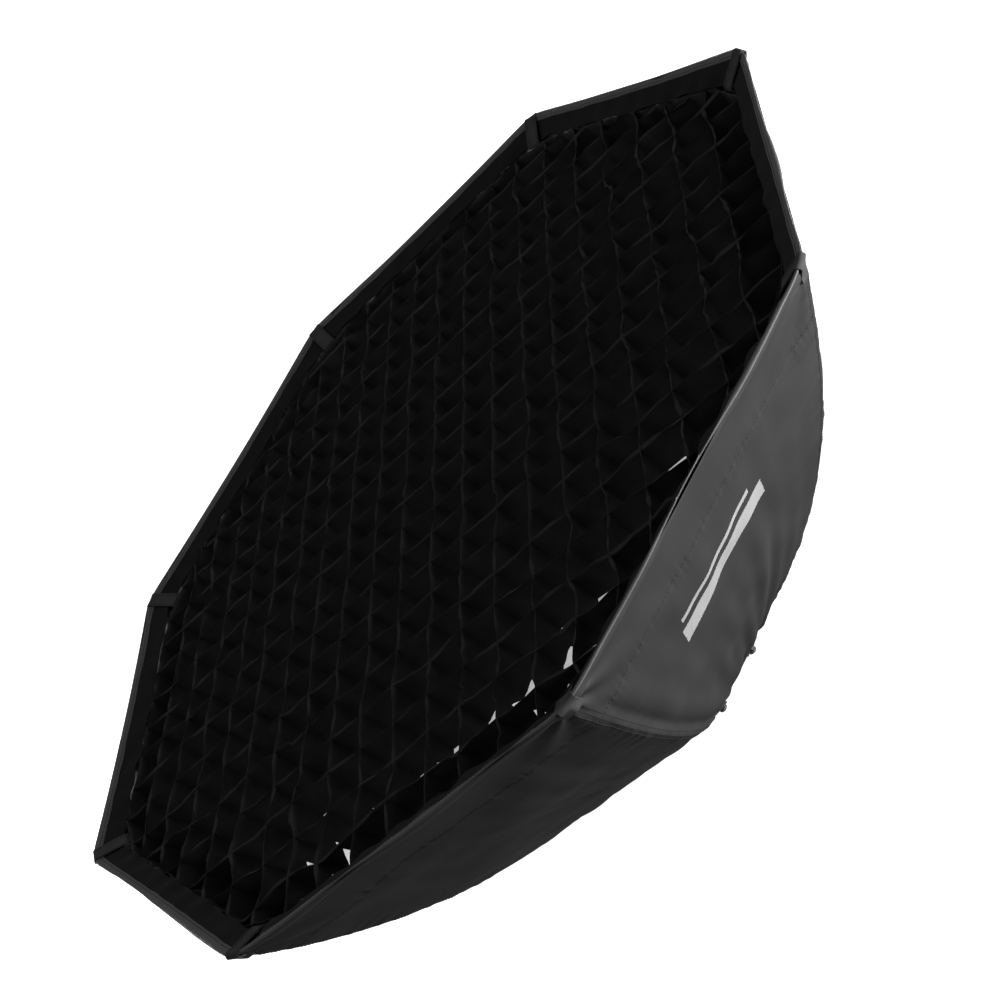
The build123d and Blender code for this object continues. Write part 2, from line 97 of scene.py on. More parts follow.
# How the cloth hangs on the frame
RIB_STRIP = 0.030  # cloth this near a rod's plane keeps its shape on the rod
EDGE_DIP = 0.0030  # the mouth's edges dip between the corners, as an angle of the bow
EDGE_ROUNDING = 0.0014  # the cloth rounds over each rod
SAG = 0.006  # panels draw in between the rods
STITCH_LINE = 0.055  # seam of the inner fastening band, behind the mouth's edge
SEAM_INBOARD = 0.0042
ALLOWANCE = 0.016  # cloth beyond each cut, as a share of the panel's length
LINING_END = 0.991  # share of a panel's length that the silver lining covers
LINING_DEPTH, CUFF_LINING_DEPTH = 1.7 * CLOTH, 1.4 * CLOTH  # inner faces, below the outer ones
CUFF_START = -0.05  # the cuff reaches a little under the panels' rear edge
HEM_INSIDE, HEM_OUTSIDE = 0.0078, 0.0088
HEM_LIFT = 0.0011
STRAP_HALF = 0.0083
LIP_CUT = 0.037  # the lip and the part of it that turns under the hem
LIP_SHOWN = 0.93  # share of the lip outside the grid's edge
GRID_SPREAD = 0.0062  # the grid's upper edge leans outwards over the lip's inner edge
TIP_BLUNT = 0.0040  # the corner straps pull the shell's tips in
MARKED_SIDE = 7  # also the side whose cloth is creased along its left rod
# Two bars of ink: middle and half length along the mouth's edge, start and end behind it
MARK_BARS = ((-0.011, 0.066, 0.115, 0.137), (-0.017, 0.056, 0.099, 0.105))
LOOSE_SIDE = 6  # beside this side the grid's strips have slipped up here and there
STRIP_DROP, STRIP_SLIP = 0.0036, 0.0210  # strips hang below the border, and slip up by as much as this
PANEL_HALVES = [(side, sign) for side in range(1, SIDES + 1) for sign in (-1, 1)]
WEB_LENGTHS = ((0.0, 0.07), (0.07, 0.15), (0.15, 0.24), (0.24, 0.34), (0.34, 0.50), (0.50, 1.0))

# Points across a region of the shell and of the mouth
SHELL_COLUMNS, MOUTH_COLUMNS = {"rib": 16, "web": 54}, {"rib": 12, "web": 44}


# ---------------------------------------------------------------- small tools
class Ripple:
    """Smooth random height over a plane: a sum of waves of about one wavelength, longer in x by stretch."""

    def __init__(self, seed, wavelength, stretch=1.0, waves=14):
        rng = np.random.default_rng(seed)
        size = 2 * math.pi / wavelength * rng.uniform(0.6, 1.6, waves)
        angle = rng.uniform(0, math.pi, waves)
        self.kx, self.ky = size * np.cos(angle) / stretch, size * np.sin(angle)
        self.phase = rng.uniform(0, 2 * math.pi, waves)

    def __call__(self, x, y):
        x, y = np.broadcast_arrays(np.asarray(x, float), np.asarray(y, float))
        total = np.zeros(x.shape)
        for kx, ky, phase in zip(self.kx, self.ky, self.phase):
            total += np.cos(kx * x + ky * y + phase)
        return total * math.sqrt(2 / len(self.kx))


class Mesh:
    """Collects grids of points into one object with smooth normals and several materials."""

    def __init__(self):
        self.points, self.normals, self.faces, self.finish, self.count = [], [], [], [], 0

    def grid(self, points, normals=None, material=0, flip=False, closed=False):
        """One quad for each cell of the grid of points. material is one number, or one for each cell."""
        rows, columns = points.shape[:2]
        index = self.count + np.arange(rows * columns).reshape(rows, columns)
        if closed:
            index = np.concatenate([index, index[:, :1]], axis=1)
        quads = np.stack([index[:-1, :-1], index[:-1, 1:], index[1:, 1:], index[1:, :-1]], -1)
        quads = quads.reshape(-1, 4)
        if flip:
            quads = quads[:, ::-1]
        self.faces.append(quads)
        self.finish.append(np.broadcast_to(np.ravel(material), len(quads)))
        self.points.append(points.reshape(-1, 3))
        missing = np.zeros((rows * columns, 3))
        self.normals.append(missing if normals is None else normals.reshape(-1, 3))
        self.count += rows * columns

    def build(self, name, materials):
        mesh = bpy.data.meshes.new(name)
        points = np.concatenate(self.points)
        mesh.from_pydata(points.tolist(), [], np.concatenate(self.faces).tolist())
        for material in materials:
            mesh.materials.append(material)
        mesh.polygons.foreach_set("material_index", np.concatenate(self.finish).astype(np.int32))
        mesh.polygons.foreach_set("use_smooth", np.ones(len(mesh.polygons), bool))
        mesh.update()
        normals = np.concatenate(self.normals)
        if np.abs(normals).sum() > 0:
            mesh.normals_split_custom_set_from_vertices(normals.tolist())
        made = bpy.data.objects.new(name, mesh)
        bpy.context.scene.collection.objects.link(made)
        return made


def unit(vectors):
    return vectors / np.maximum(np.linalg.norm(vectors, axis=-1, keepdims=True), 1e-12)


def surface_normals(surface, s, v, step_s=0.0006, step_v=0.0012):
    """Normals of surface(s, v) by differences, so that neighbouring patches agree along their border."""
    along = surface(s, v + step_v) - surface(s, v - step_v)
    across = surface(s + step_s, v) - surface(s - step_s, v)
    return unit(np.cross(across, along))


def side_axes(side):
    angle = STEP * side
    outward = np.array([math.cos(angle), math.sin(angle), 0])
    sideways = np.array([-math.sin(angle), math.cos(angle), 0])
    return outward, sideways


def placed(side, apothem, s, z):
    """Points at a distance from the axis towards a side, a distance along the side and a height."""
    outward, sideways = side_axes(side)
    return apothem[..., None] * outward + s[..., None] * sideways + z[..., None] * UP


def facing_away(points, normals, centre_z):
    """1 or -1, which turns the normals away from a point on the light axis."""
    return np.sign((normals * (points - centre_z * UP)).sum(-1).mean())


def piece_name(kind, region, side, sign):
    return f"{kind}_{region}_{side}_{'left' if sign < 0 else 'right'}"


def rod_angle(number):
    return HALF + STEP * (number - 1)


def rod_of(side, sign):
    """Number of the rod at a panel's left (-1) or right (+1) edge."""
    return side if sign < 0 else side % SIDES + 1


# ---------------------------------------------------------------- shape of the cloth
broad_folds = Ripple(3, 0.16)
soft_folds = Ripple(5, 0.055)
long_folds = Ripple(17, 0.050, stretch=7.0)
edge_pucker = Ripple(8, 0.012)
stitch_pucker = Ripple(13, 0.009)
lip_ripple = Ripple(21, 0.045)
sheet_ripple = Ripple(34, 0.20)
grid_lean_x, grid_lean_y = Ripple(55, 0.11), Ripple(89, 0.11)
grid_fine_x, grid_fine_y = Ripple(144, 0.05), Ripple(233, 0.05)


def ridge_radius(angle):
    return ARC_R + RIDGE_ARC * np.sin(angle)


def bow_height(angle):
    return ARC_Z - RIDGE_ARC * np.cos(angle)


def shell_half_width(v):
    return ridge_radius(REAR + (MOUTH - REAR) * v) * SIN


def corner_folds(inboard, distance, height, reach, clear, folds, phase):
    """Folds that fan out from a panel's corner and fade with the distance from it."""
    corner = np.hypot(inboard, distance)
    fan = np.arctan2(distance, inboard + 1e-6)
    return height * np.exp(-corner / reach) * np.clip(corner / clear, 0, 1) * np.cos(folds * fan + phase)


def seam_dip(s, shift, behind):
    """The puckered groove over the seam of the inner band."""
    line = behind - STITCH_LINE
    pucker = 0.00025 * np.exp(-np.abs(line) / 0.007) * stitch_pucker(s + shift, 0)
    return pucker - 0.0005 * np.exp(-((line / 0.0016) ** 2))


def rod_crease(s, inboard, behind, ahead):
    """A long ridge and groove beside the left rod."""
    share = np.clip(behind / 0.06, 0, 1) * np.clip(ahead / 0.05, 0, 1) * (s < 0)
    ridge = 0.0018 * np.exp(-(((inboard - 0.027) / 0.011) ** 2))
    groove = 0.0022 * np.exp(-(((inboard - 0.010) / 0.006) ** 2))
    return share * (ridge - groove)


def panel_relief(side, s, u, v, width):
    """Height of a panel's cloth over its plain bow. It is nothing on the rods."""
    behind = (1 - v) * SHELL_LENGTH
    ahead = SHELL_LENGTH - behind
    inboard = np.maximum(width - np.abs(s), 0)
    open_share = np.clip(1 - u**2, 0, 1)
    shift = 40.0 * side  # so that no two panels are alike
    bow = np.sin(math.pi * np.clip(v, 0, 1)) ** 0.8
    relief = -SAG * bow * open_share * width / (CORNER_RADIUS * SIN)
    relief += 0.0012 * broad_folds(s + shift, behind) * open_share**0.5
    along = long_folds(behind, u * CORNER_RADIUS * SIN + shift)
    relief += 0.0009 * along * open_share * np.clip(behind / 0.25, 0.1, 1)
    relief += 0.0003 * soft_folds(s + shift, behind) * np.clip(behind / STITCH_LINE, 0.25, 1)
    relief += 0.0004 * np.exp(-inboard / 0.014) * edge_pucker(behind + shift, np.sign(s) * 0.3)
    relief += seam_dip(s, shift, behind)
    relief += corner_folds(inboard, behind, 0.0016, 0.08, 0.02, 9, side)
    relief += corner_folds(inboard, ahead, 0.0017, 0.16, 0.04, 11, 2 * side)
    if side == MARKED_SIDE:
        relief += rod_crease(s, inboard, behind, ahead)
    return relief * (1 - np.exp(-inboard / 0.003))


def shell_point(side, s, v):
    """Point of a panel's outer face: s along the mouth's edge from its middle, v from rear to mouth."""
    plain = REAR + (MOUTH - REAR) * v
    width = ridge_radius(plain) * SIN
    u = np.clip(s / width, -1, 1)
    angle = plain - EDGE_DIP * (1 - u**2) * np.clip(v, 0, 1.1) ** 4
    relief = panel_relief(side, s, u, v, width)
    tilt = np.sqrt(np.sin(angle) ** 2 + (np.cos(angle) * COS) ** 2)
    apothem = ridge_radius(angle) * COS + relief * np.sin(angle) / tilt
    z = bow_height(angle) - relief * np.cos(angle) * COS / tilt

    inboard = np.maximum(width - np.abs(s), 0)
    near_tip = np.clip((v - 0.955) / 0.04, 0, 1)
    rounding = EDGE_ROUNDING * np.exp(-inboard / 0.004) + TIP_BLUNT * np.exp(-inboard / 0.006) * near_tip
    return placed(side, apothem - rounding * COS, s - np.sign(s) * rounding * SIN, z)


def lip_half_width(q):
    return (CORNER_RADIUS * COS - LIP_WIDTH * q) * TAN


def lip_point(side, s, q):
    """Point of the lip's upper face, from the mouth's edge, q = 0, to its inner edge, q = 1."""
    u = np.clip(s / lip_half_width(q), -1, 1)
    edge = MOUTH - EDGE_DIP * (1 - u**2)
    apothem = ridge_radius(edge) * COS * (1 - q) + (CORNER_RADIUS * COS - LIP_WIDTH) * q
    z = bow_height(edge) * (1 - q) + (MOUTH_Z - LIP_DROP) * q
    inboard = np.maximum(lip_half_width(q) - np.abs(s), 0)
    calm = np.clip(q, 0, 1) * (1 - np.exp(-inboard / 0.006))
    z = z + 0.0012 * calm * lip_ripple(s + 30.0 * side, 0.02 * q)
    apothem = apothem + 0.0008 * calm * lip_ripple(s + 11.0 * side, 3.0)
    rounding = (EDGE_ROUNDING + TIP_BLUNT) * np.exp(-inboard / 0.006) * np.clip(1 - q, 0, 1) ** 2
    return placed(side, apothem - rounding * COS, s - np.sign(s) * rounding * SIN, z)


def cuff_point(side, s, q):
    """Point of the cuff's outer face, from the shell's rear edge, q = 0, to the ring, q = 1."""
    radius = CUFF_OUTER[0] + (CUFF_INNER[0] - CUFF_OUTER[0]) * q
    z = CUFF_OUTER[1] + (CUFF_INNER[1] - CUFF_OUTER[1]) * q
    gather = 0.0006 * np.sin(q * 3.1) * edge_pucker(s + 7.0 * side, 0)
    apothem, z = np.broadcast_arrays(radius * COS - np.abs(gather), z + 0 * s)
    return placed(side, apothem, s, z)


def cuff_half_width(q):
    return (CUFF_OUTER[0] + (CUFF_INNER[0] - CUFF_OUTER[0]) * q) * SIN


def across(region, sign, half_width, fraction):
    """Place along the mouth's edge in a region: the rib strip at a panel's edge, or the web inside it."""
    border = half_width - RIB_STRIP / COS
    low, high = (0 * border, border) if region == "web" else (border, half_width)
    return sign * (low + (high - low) * fraction)


def patch(surface, half_width, region, sign, rows, columns, snap=None):
    """Points and normals of a region of a surface. rows is a list of the second coordinate's values."""
    v = np.asarray(rows, float)[:, None]
    fraction = np.linspace(0, 1, columns)[None, :]
    s = across(region, sign, half_width(v), fraction)
    v = v + 0 * s
    if snap:
        snap(s, v)
    return surface(s, v), surface_normals(surface, s, v), s, v


def thread(mesh, points, normals, material, length=0.0024, gap=0.0011, radius=0.00028):
    """Stitches along a line of points, each a small raised bar."""
    steps = np.linalg.norm(np.diff(points, axis=0), axis=1)
    run = np.concatenate([[0], np.cumsum(steps)])
    starts = np.arange(gap, run[-1] - length, length + gap)
    if len(starts) == 0:
        return

    def at(distance, values):
        return np.stack([np.interp(distance, run, values[:, k]) for k in range(3)], -1)

    for start in starts:
        a, b = at(start, points), at(start + length, points)
        up = unit(at(start, normals))
        along = unit(b - a)
        beside = np.cross(along, up)
        ring = [up * 1.6 * radius, beside * radius, -up * radius, -beside * radius]
        near = np.array([a + r for r in ring])
        far = np.array([b + r for r in ring])
        tip = np.repeat([(a - along * radius)], 4, axis=0)
        end = np.repeat([(b + along * radius)], 4, axis=0)
        mesh.grid(np.stack([tip, near, far, end]), material=material, closed=True)


# ---------------------------------------------------------------- materials
def material(name, color, roughness, specular=0.5, metallic=0.0, sheen=0.0,
             noise=None, bump=None, spread=0.0):
    """Principled material.

    noise is (scale, darkest share of the colour), spread is how far the roughness strays with it, and
    bump is (scale, height in metres).
    """
    made = bpy.data.materials.new(name)
    made.use_nodes = True
    nodes, links = made.node_tree.nodes, made.node_tree.links
    shader = nodes["Principled BSDF"]
    shader.inputs["Base Color"].default_value = (*color, 1)
    shader.inputs["Roughness"].default_value = roughness
    shader.inputs["Metallic"].default_value = metallic
    shader.inputs["Specular IOR Level"].default_value = specular
    shader.inputs["Sheen Weight"].default_value = sheen
    shader.inputs["Sheen Roughness"].default_value = 0.4
    place = nodes.new("ShaderNodeTexCoord").outputs["Object"]
    if noise:
        texture = nodes.new("ShaderNodeTexNoise")
        texture.inputs["Scale"].default_value = noise[0]
        texture.inputs["Detail"].default_value = 5
        links.new(place, texture.inputs["Vector"])
        ramp = nodes.new("ShaderNodeValToRGB")
        ramp.color_ramp.elements[0].position, ramp.color_ramp.elements[1].position = 0.3, 0.7
        ramp.color_ramp.elements[0].color = (*[c * noise[1] for c in color], 1)
        ramp.color_ramp.elements[1].color = (*color, 1)
        links.new(texture.outputs["Fac"], ramp.inputs["Fac"])
        links.new(ramp.outputs["Color"], shader.inputs["Base Color"])
        if spread:
            rough = nodes.new("ShaderNodeMapRange")
            rough.inputs["To Min"].default_value = roughness - spread
            rough.inputs["To Max"].default_value = roughness + spread
            links.new(texture.outputs["Fac"], rough.inputs["Value"])
            links.new(rough.outputs["Result"], shader.inputs["Roughness"])
    if bump:
        grain = nodes.new("ShaderNodeTexNoise")
        grain.inputs["Scale"].default_value = bump[0]
        grain.inputs["Detail"].default_value = 4
        links.new(place, grain.inputs["Vector"])
        relief = nodes.new("ShaderNodeBump")
        relief.inputs["Strength"].default_value = 1.0
        relief.inputs["Distance"].default_value = bump[1]
        links.new(grain.outputs["Fac"], relief.inputs["Height"])
        links.new(relief.outputs["Normal"], shader.inputs["Normal"])
    return made


NYLON = material("black_nylon", (0.0150, 0.0150, 0.0155), 0.46, 0.10,
                 noise=(14, 0.8), bump=(900, 0.0001), spread=0.05)
PRINT = material("printed_ink", (0.14, 0.14, 0.14), 0.6, 0.15, noise=(300, 0.9), bump=(900, 0.0001))
SILVER = material("silver_lining", (0.72, 0.73, 0.74), 0.34, 0.5, 0.9, noise=(30, 0.9), bump=(260, 0.0004))
LIP = material("lip_cloth", (0.0055, 0.0055, 0.0057), 0.8, 0.05, noise=(40, 0.7), bump=(1200, 0.00015))
CUFF = material("cuff_cloth", (0.013, 0.013, 0.0135), 0.6, 0.15, noise=(40, 0.7), bump=(1200, 0.00015))
# Painted shade: the hem binding's outer leg, facing down and away from the light, gets this darker copy of
# the binding's colour
HEM_BACK_SHADED = material("hem_back_painted_shade", (0.018, 0.018, 0.019), 0.55, 0.12, noise=(60, 0.8), bump=(1600, 0.0002))
HEM = material("hem_binding", (0.036, 0.036, 0.037), 0.6, 0.20, noise=(60, 0.8), bump=(1600, 0.0002))
WEBBING = material("webbing", (0.027, 0.027, 0.028), 0.8, 0.06, noise=(90, 0.7), bump=(1500, 0.0003))
THREAD = material("sewing_thread", (0.011, 0.011, 0.0115), 0.7, 0.10, noise=(600, 0.6))
GRID = material("grid_cloth", (0.0175, 0.0175, 0.0180), 0.85, 0.05, noise=(50, 0.6), bump=(1300, 0.0002))
# Painted shade: the strips' top edges get a slightly darker copy of the grid cloth, to hold down the light
# they catch
GRID_EDGE_SHADED = material("grid_edge_painted_shade", (0.0160, 0.0160, 0.0165), 0.85, 0.05, noise=(120, 0.7))
DIFFUSION = material("diffusion_cloth", (0.86, 0.86, 0.85), 0.75, 0.3, noise=(8, 0.97), bump=(1100, 0.0001))
# Painted glow: the front white sheet gives off light of its own, though no lamp shines through it
DIFFUSION.node_tree.nodes["Principled BSDF"].inputs["Emission Color"].default_value = (1, 1, 1, 1)
DIFFUSION.node_tree.nodes["Principled BSDF"].inputs["Emission Strength"].default_value = PAINTED_SHEET_GLOW
BAFFLE = material("baffle_cloth", (0.84, 0.84, 0.83), 0.75, 0.3, noise=(8, 0.97), bump=(1100, 0.0001))
PILE = material("looped_pile", (0.022, 0.022, 0.023), 0.9, 0.2, noise=(400, 0.5), bump=(1400, 0.0005))
WHITE_HEM = material("white_hem", (0.78, 0.78, 0.77), 0.7, 0.3, bump=(900, 0.0002))
ELASTIC = material("elastic_strap", (0.025, 0.025, 0.027), 0.7, 0.3, noise=(700, 0.6), bump=(900, 0.0004))
CAST = material("coated_casting", (0.022, 0.022, 0.024), 0.48, 0.5, noise=(120, 0.8), bump=(700, 0.0001))
BAYONET = material("machined_alloy", (0.55, 0.55, 0.56), 0.28, 0.5, 1.0, noise=(80, 0.9), spread=0.06)
PLATED = material("plated_steel", (0.56, 0.56, 0.57), 0.22, 0.5, 1.0, noise=(150, 0.85), spread=0.05)
BLACK_STEEL = material("blackened_steel", (0.035, 0.035, 0.037), 0.38, 0.5, 0.6, noise=(90, 0.8))
SOCKET = material("anodised_socket", (0.045, 0.045, 0.048), 0.35, 0.5, 0.8, noise=(100, 0.85))
ROD = material("lacquered_rod", (0.018, 0.018, 0.019), 0.25, 0.5, noise=(60, 0.8), bump=(300, 0.00005))
KNOB = material("knob_plastic", (0.02, 0.02, 0.021), 0.5, 0.5, noise=(90, 0.8), bump=(500, 0.0001))
BUTTON = material("button_plastic", (0.03, 0.03, 0.031), 0.4, 0.5, noise=(90, 0.9), bump=(500, 0.0001))

# What the pieces of the shell and of the mouth are made of
SHELL_CLOTHS = [NYLON, SILVER, THREAD, PRINT]
MOUTH_CLOTHS = [LIP, HEM, THREAD, HEM_BACK_SHADED]

CAD_FINISH = {
    "speedring_body": CAST, "hinge_pins": PLATED, "hinge_pin_clips": BLACK_STEEL,
    "retaining_ring": BLACK_STEEL, "retaining_screws": PLATED,
    "bayonet_insert": BAYONET, "rotation_lock_stud": PLATED, "rotation_lock_knob": KNOB,
    "rod_socket": SOCKET, "rod": ROD, "release_button": BUTTON,
}


def finish_cad():
    """The hard parts keep their CAD shape and get their real finish."""
    for name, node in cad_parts.items():
        numberless = name.rstrip("0123456789").rstrip("_")
        finish = CAD_FINISH.get(name) or CAD_FINISH.get(numberless)
        if finish:
            for slot in node.material_slots:
                slot.material = finish


def button_springs():
    """Coils round the release buttons, each riding on the frame."""
    low, high = (corner.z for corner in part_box("button_springs"))
    path_low, path_high = low + SPRING_WIRE_R, high - SPRING_WIRE_R
    turns = (path_high - path_low) / SPRING_PITCH
    t = np.linspace(0, 2 * math.pi * turns, 1 + int(18 * turns))[:, None]
    round_wire = np.linspace(0, 2 * math.pi, 8, endpoint=False)[None, :]
    radius = SPRING_COIL_R + SPRING_WIRE_R * np.cos(round_wire)
    for number in range(1, SIDES + 1):
        angle = rod_angle(number)
        x = PIVOT_R * math.cos(angle) + radius * np.cos(t)
        y = PIVOT_R * math.sin(angle) + radius * np.sin(t)
        z = path_low + (path_high - path_low) * t / t[-1] + SPRING_WIRE_R * np.sin(round_wire)
        mesh = Mesh()
        mesh.grid(np.stack([x, y, z], -1), closed=True, flip=True)
        piece = mesh.build(f"button_spring_{number}", [PLATED])
        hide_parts("button_springs")
        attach(piece, "frame")
        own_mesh(piece)


def hold(piece, region, side, sign):
    """A rib strip rides on its rod's arm, and so does a web, on a mesh of its own."""
    rod = rod_of(side, sign)
    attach(piece, f"arm_{rod}")
    if region == "web":
        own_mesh(piece)


def bar_rows():
    """Rows at the bars' edges."""
    return [1 - behind / SHELL_LENGTH for bar in MARK_BARS for behind in bar[2:]]


def snap_to_bars(s, v):
    """Move the nearest points onto the bars' ends, so that the ink ends in a straight line."""
    for middle, half_length, start, end in MARK_BARS:
        behind = (1 - v[:, 0]) * SHELL_LENGTH
        for row in np.flatnonzero((behind > start - 1e-6) & (behind < end + 1e-6)):
            for tip in (middle - half_length, middle + half_length):
                column = np.argmin(np.abs(s[row] - tip))
                if abs(s[row, column] - tip) < 0.002:
                    s[row, column] = tip


def printed(side, s, v):
    """Material number of each cell: nylon, or pale ink on the marked panel's bars."""
    s = (s[:-1, :-1] + s[1:, 1:]) / 2
    behind = (1 - (v[:-1, :-1] + v[1:, 1:]) / 2) * SHELL_LENGTH
    inked = np.zeros(s.shape, int)
    if side == MARKED_SIDE:
        for middle, half_length, start, end in MARK_BARS:
            bar = (np.abs(s - middle) < half_length) & (behind > start) & (behind < end)
            inked[bar] = SHELL_CLOTHS.index(PRINT)
    return inked


def flat_size(half_width, region, length, start=0.0, end=1.0):
    """Mean width and length a region was cut to."""
    if region == "rib":
        return RIB_STRIP / COS, length
    return (half_width(start) + half_width(end)) / 2 - RIB_STRIP / COS, length * (end - start)


def skin(side, sign, region, start, end):
    """Outer nylon and inner lining of one length of a region of a panel, with its seams."""
    mesh = Mesh()
    columns = SHELL_COLUMNS[region]

    def outer(s, v):
        return shell_point(side, s, v)

    rows = np.linspace(start, end, 3 + int(187 * (end - start)))
    marked = side == MARKED_SIDE and region == "web" and end == 1
    if marked:
        rows = np.unique(np.concatenate([rows, bar_rows()]))
    snap = snap_to_bars if marked else None
    points, normals, s, v = patch(outer, shell_half_width, region, sign, rows, columns, snap)
    facing = facing_away(points, normals, SHELL_CENTRE_Z)
    mesh.grid(points, normals * facing, printed(side, s, v), flip=(facing * sign < 0))
    lining, inward, _, _ = patch(outer, shell_half_width, region, sign, rows[rows < LINING_END], 16)
    inward = inward * facing
    silver, stitched = SHELL_CLOTHS.index(SILVER), SHELL_CLOTHS.index(THREAD)
    mesh.grid(lining - inward * LINING_DEPTH, -inward, silver, flip=(facing * sign > 0))

    def allowance(v, fractions):
        """Cloth under the next piece, which closes the gap when the two part a little in folding."""
        v = np.asarray(v, float)[:, None]
        s = across(region, sign, shell_half_width(v), np.asarray(fractions)[None, :])
        v = v + 0 * s
        out = surface_normals(outer, s, v) * facing
        mesh.grid(outer(s, v) - out * CLOTH / 2, out, 0, flip=(facing * sign < 0))

    allowance([start - ALLOWANCE, start, start + 0.004], np.linspace(0, 1, columns))
    if region == "rib":
        allowance(rows, [-0.12, 0.0, 0.06])
    elif end < 1:
        allowance([end - 0.004, end, end + ALLOWANCE], np.linspace(0, 1, columns))

    band_seam = 1 - STITCH_LINE / SHELL_LENGTH
    if start < band_seam < end:
        ends = [band_seam, band_seam + 1e-4]
        seam, up, _, _ = patch(outer, shell_half_width, region, sign, ends, columns * 2)
        thread(mesh, seam[0], up[0] * facing, stitched)
    if region == "rib":
        v_seam = np.linspace(0.01, 1 - HEM_OUTSIDE / SHELL_LENGTH, 150)
        s_seam = sign * (shell_half_width(v_seam) - SEAM_INBOARD)
        out = surface_normals(outer, s_seam, v_seam) * facing
        thread(mesh, outer(s_seam, v_seam), out, stitched)
    name = piece_name("shell", region, side, sign)
    if region == "web":
        name += f"_{WEB_LENGTHS.index((start, end)) + 1}"
    return mesh.build(name, SHELL_CLOTHS)


def shell():
    regions = [("rib", 0.0, 1.0)] + [("web", start, end) for start, end in WEB_LENGTHS]
    for side, sign in PANEL_HALVES:
        for region, start, end in regions:
            piece = skin(side, sign, region, start, end)
            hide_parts(f"shell_panel_{side}")
            hold(piece, region, side, sign)
            width, length = flat_size(shell_half_width, region, SHELL_LENGTH, start, end)


def hem_profile():
    """Steps of the hem's cross-section: the face, the distance from the mouth's edge and the height."""
    return [
        ("outside", HEM_OUTSIDE, 0.0), ("outside", HEM_OUTSIDE - 0.0004, HEM_LIFT * 0.8),
        ("outside", HEM_OUTSIDE * 0.6, HEM_LIFT), ("outside", 0.0016, HEM_LIFT),
        ("outside", -0.0004, HEM_LIFT * 0.8), ("outside", -0.0012, HEM_LIFT * 0.1),
        ("inside", 0.0004, HEM_LIFT * 1.1), ("inside", 0.002, HEM_LIFT),
        ("inside", HEM_INSIDE * 0.5, HEM_LIFT * 0.8), ("inside", HEM_INSIDE - 0.0016, HEM_LIFT * 0.8),
        ("inside", HEM_INSIDE - 0.0003, HEM_LIFT * 0.7), ("inside", HEM_INSIDE, 0.0),
    ]


def mouth_piece(side, sign, region):
    """Lip and hem of one region of a side of the mouth."""
    mesh = Mesh()
    columns = MOUTH_COLUMNS[region]
    fraction = np.linspace(0, 1, columns)

    def upper(s, q):
        return lip_point(side, s, q)

    def outer(s, v):
        return shell_point(side, s, v)

    def hem_row(face, distance, height):
        if face == "outside":
            v = np.full(columns, 1 - distance / SHELL_LENGTH)
            s = across(region, sign, shell_half_width(v), fraction)
            points, normals = outer(s, v), surface_normals(outer, s, v)
            return points + normals * facing_away(points, normals, SHELL_CENTRE_Z) * height
        q = np.full(columns, distance / LIP_SLOPE_LENGTH)
        s = across(region, sign, lip_half_width(q), fraction)
        normals = surface_normals(upper, s, q)
        return upper(s, q) + normals * np.sign(normals[..., 2].mean()) * height

    rows = np.linspace(0, LIP_SHOWN, 14)
    points, normals, _, _ = patch(upper, lip_half_width, region, sign, rows, columns)
    facing = np.sign(normals[..., 2].mean())
    normals = normals * facing
    mesh.grid(points, normals, 0, flip=(facing * sign < 0))
    mesh.grid(points - normals * CLOTH, -normals, 0, flip=(facing * sign > 0))
    profile = hem_profile()
    # The hem's outer leg takes the darker copy of the binding: painted shade
    front, back = MOUTH_CLOTHS.index(HEM), MOUTH_CLOTHS.index(HEM_BACK_SHADED)
    finish = np.repeat([back] * 4 + [front] * (len(profile) - 5), columns - 1)
    mesh.grid(np.stack([hem_row(*step) for step in profile]), None, finish, flip=(sign > 0))
    stitches = hem_row("inside", HEM_INSIDE - 0.0028, HEM_LIFT * 0.8)
    thread(mesh, stitches, np.tile(UP, (columns, 1)), MOUTH_CLOTHS.index(THREAD), length=0.0026)
    return mesh.build(piece_name("mouth", region, side, sign), MOUTH_CLOTHS)


def mouth():
    for side, sign in PANEL_HALVES:
        for region in ("rib", "web"):
            piece = mouth_piece(side, sign, region)
            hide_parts("front_lip")
            hold(piece, region, side, sign)
            flat_size(lip_half_width, region, LIP_CUT)


def cuff_piece(side, sign, region):
    """Both faces of one region of a side of the cuff."""
    mesh = Mesh()

    def outer(s, q):
        return cuff_point(side, s, q)

    points, normals, _, _ = patch(outer, cuff_half_width, region, sign, np.linspace(CUFF_START, 1, 14), 18)
    facing = facing_away(points, normals, CUFF_CENTRE_Z)
    normals = normals * facing
    mesh.grid(points, normals, 0, flip=(facing * sign < 0))
    mesh.grid(points - normals * CUFF_LINING_DEPTH, -normals, 0, flip=(facing * sign > 0))
    return mesh.build(piece_name("cuff", region, side, sign), [CUFF])


def cuff():
    for side, sign in PANEL_HALVES:
        for region in ("rib", "web"):
            piece = cuff_piece(side, sign, region)
            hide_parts("rear_cuff")
            hold(piece, region, side, sign)
            flat = flat_size(cuff_half_width, region, math.dist(CUFF_OUTER, CUFF_INNER))


def smooth_path(points, count):
    """Evenly spaced points along a smooth curve through a few points (Catmull-Rom)."""
    points = np.array(points, float)
    ends = np.vstack([2 * points[0] - points[1], points, 2 * points[-1] - points[-2]])
    t = np.linspace(0, len(points) - 1 - 1e-9, count)
    k = t.astype(int)
    f = (t - k)[:, None]
    a, b, c, d = ends[k], ends[k + 1], ends[k + 2], ends[k + 3]
    square, cube = 2 * a - 5 * b + 4 * c - d, 3 * b - a - 3 * c + d
    return 0.5 * (2 * b + (c - a) * f + square * f**2 + cube * f**3)


